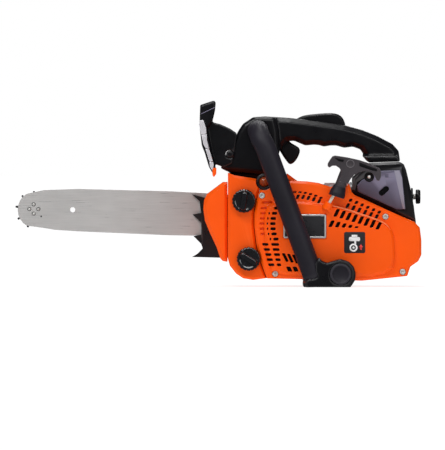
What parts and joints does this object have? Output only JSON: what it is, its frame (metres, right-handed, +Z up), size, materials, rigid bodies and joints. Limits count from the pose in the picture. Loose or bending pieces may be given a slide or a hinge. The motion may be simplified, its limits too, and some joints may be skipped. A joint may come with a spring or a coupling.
{
  "type": "top-handle chainsaw",
  "caption": "Compact top-handle petrol chainsaw with slanted side handle, pull starter, hand guard, spiked bumper and a short sprocket-nose guide bar, shown without a chain.",
  "frame": {"origin": "middle of the whole saw in plan, at the level of the handle foot that it stands on", "axes": "+X towards the rear (the guide bar points to -X), +Y to the clutch side, +Z up"},
  "size_m": [0.5226, 0.1994, 0.239],
  "materials": {
    "orange": "glossy moulded",
    "black": "satin moulded",
    "grip": "matt",
    "grey": "satin moulded",
    "brown": "satin moulded",
    "steel": "brushed",
    "dark": "black oxide",
    "alloy": "cast",
    "red": "translucent",
    "white": "woven"
  },
  "bodies": {
    "saw": {"crankcase_left": "alloy", "crankcase_right": "alloy", "bearing_left": "steel", "bearing_right": "steel", "cylinder": "alloy", "spark_plug": "steel", "plug_boot": "black", "ignition_coil": "black", "muffler": "dark", "carburettor": "alloy", "air_filter": "white", "brake_band": "dark", "bar_stud_front": "steel", "bar_nut_front": "dark", "bar_stud_rear": "steel", "bar_nut_rear": "dark", "starter_housing": "orange", "starter_screw_1": "steel", "starter_screw_2": "steel", "starter_screw_3": "steel", "starter_screw_4": "steel", "name_plate": "dark", "tank_housing": "orange", "primer_base": "black", "muffler_cover": "orange", "bumper_spikes": "black", "cylinder_cover": "orange", "clutch_cover": "orange", "chain_catcher": "alloy", "filter_housing": "black", "filter_panel": "grey", "top_handle": "black", "handle_grip": "grip", "front_handle": "grip", "handle_foot": "black", "foot_damper": "grip", "recoil_spring": "steel"},
    "crank": {"crankshaft_left": "steel", "crankshaft_right": "steel", "flywheel": "alloy", "clutch_hub": "dark"},
    "piston": {"piston": "alloy"},
    "rod": {"connecting_rod": "steel"},
    "drum": {"clutch_drum": "steel"},
    "shoe_upper": {"clutch_shoe_1": "dark"},
    "shoe_lower": {"clutch_shoe_2": "dark"},
    "pull": {"starter_handle": "brown", "starter_rope": "white"},
    "pulley": {"starter_pulley": "black"},
    "trigger": {"throttle_trigger": "black"},
    "lockout": {"lockout_lever": "black"},
    "guard": {"hand_guard": "black"},
    "primer": {"primer_bulb": "red"},
    "fuel_cap": {"fuel_cap": "black"},
    "oil_cap": {"oil_cap": "black"},
    "choke": {"choke_knob": "black"},
    "switch": {"stop_switch": "red"},
    "bar": {"guide_bar": "steel"},
    "nose_wheel": {"nose_sprocket": "dark"},
    "tensioner": {"tension_screw": "steel"}
  },
  "joints": [
    {"name": "crank_spin", "type": "hinge", "parent": "saw", "child": "crank", "pos_m": [0.113, 0.0155, 0.081], "axis": [0, 1, 0], "continuous": true},
    {"name": "piston_stroke", "type": "slide", "parent": "saw", "child": "piston", "axis": [0.866, 0, -0.5], "range_m": [0, 0.026]},
    {"name": "rod_swing", "type": "hinge", "parent": "piston", "child": "rod", "pos_m": [0.06623, 0.0155, 0.108], "axis": [0, 1, 0], "range_deg": [-14, 14]},
    {"name": "drum_spin", "type": "hinge", "parent": "saw", "child": "drum", "pos_m": [0.113, 0.0155, 0.081], "axis": [0, 1, 0], "continuous": true},
    {"name": "shoe_upper_slide", "type": "slide", "parent": "crank", "child": "shoe_upper", "axis": [0, 0, 1], "range_m": [0, 0.0009], "stiffness_N_per_m": 8000, "springref_m": -0.0003},
    {"name": "shoe_lower_slide", "type": "slide", "parent": "crank", "child": "shoe_lower", "axis": [0, 0, -1], "range_m": [0, 0.0009], "stiffness_N_per_m": 8000, "springref_m": -0.0003},
    {"name": "starter_pull", "type": "slide", "parent": "saw", "child": "pull", "axis": [0.4801, 0, 0.8772], "range_m": [0, 0.45], "stiffness_N_per_m": 12, "springref_m": -0.3},
    {"name": "pulley_spin", "type": "hinge", "parent": "saw", "child": "pulley", "pos_m": [0.113, 0.0155, 0.081], "axis": [0, -1, 0], "range_deg": [0, 1100]},
    {"name": "trigger_squeeze", "type": "hinge", "parent": "saw", "child": "trigger", "pos_m": [0.084, 0.0095, 0.19], "axis": [0, -1, 0], "range_deg": [0, 14], "stiffness_Nm_per_rad": 0.3, "springref_deg": -17.19},
    {"name": "lockout_press", "type": "hinge", "parent": "saw", "child": "lockout", "pos_m": [0.098, 0.0095, 0.204], "axis": [0, 1, 0], "range_deg": [0, 6], "stiffness_Nm_per_rad": 0.6, "springref_deg": -11.46},
    {"name": "guard_tilt", "type": "hinge", "parent": "saw", "child": "guard", "pos_m": [0.016, 0.0095, 0.17], "axis": [0, -1, 0], "range_deg": [0, 18]},
    {"name": "primer_press", "type": "slide", "parent": "saw", "child": "primer", "axis": [0, 1, 0], "range_m": [0, 0.0035], "stiffness_N_per_m": 500, "springref_m": -0.001},
    {"name": "fuel_cap_lift", "type": "slide", "parent": "saw", "child": "fuel_cap", "axis": [0, -1, 0], "range_m": [0, 0.03]},
    {"name": "oil_cap_lift", "type": "slide", "parent": "saw", "child": "oil_cap", "axis": [0, -1, 0], "range_m": [0, 0.03]},
    {"name": "choke_pull", "type": "slide", "parent": "saw", "child": "choke", "axis": [1, 0, 0], "range_m": [0, 0.012]},
    {"name": "switch_turn", "type": "hinge", "parent": "saw", "child": "switch", "pos_m": [0.064, 0.0425, 0.184], "axis": [0, 1, 0], "range_deg": [0, 30]},
    {"name": "bar_adjust", "type": "slide", "parent": "saw", "child": "bar", "axis": [-1, 0, 0], "range_m": [-0.003, 0.008]},
    {"name": "nose_spin", "type": "hinge", "parent": "bar", "child": "nose_wheel", "pos_m": [-0.237, 0.0605, 0.098], "axis": [0, 1, 0], "continuous": true},
    {"name": "tensioner_turn", "type": "hinge", "parent": "saw", "child": "tensioner", "pos_m": [0.052, 0.0555, 0.074], "axis": [0, 1, 0], "continuous": true}
  ],
  "couplings": [
    {"joint": "pulley_spin", "follows": "starter_pull", "rad_per_m": 38.46},
    {"joint": "shoe_lower_slide", "follows": "shoe_upper_slide", "ratio": 1}
  ]
}
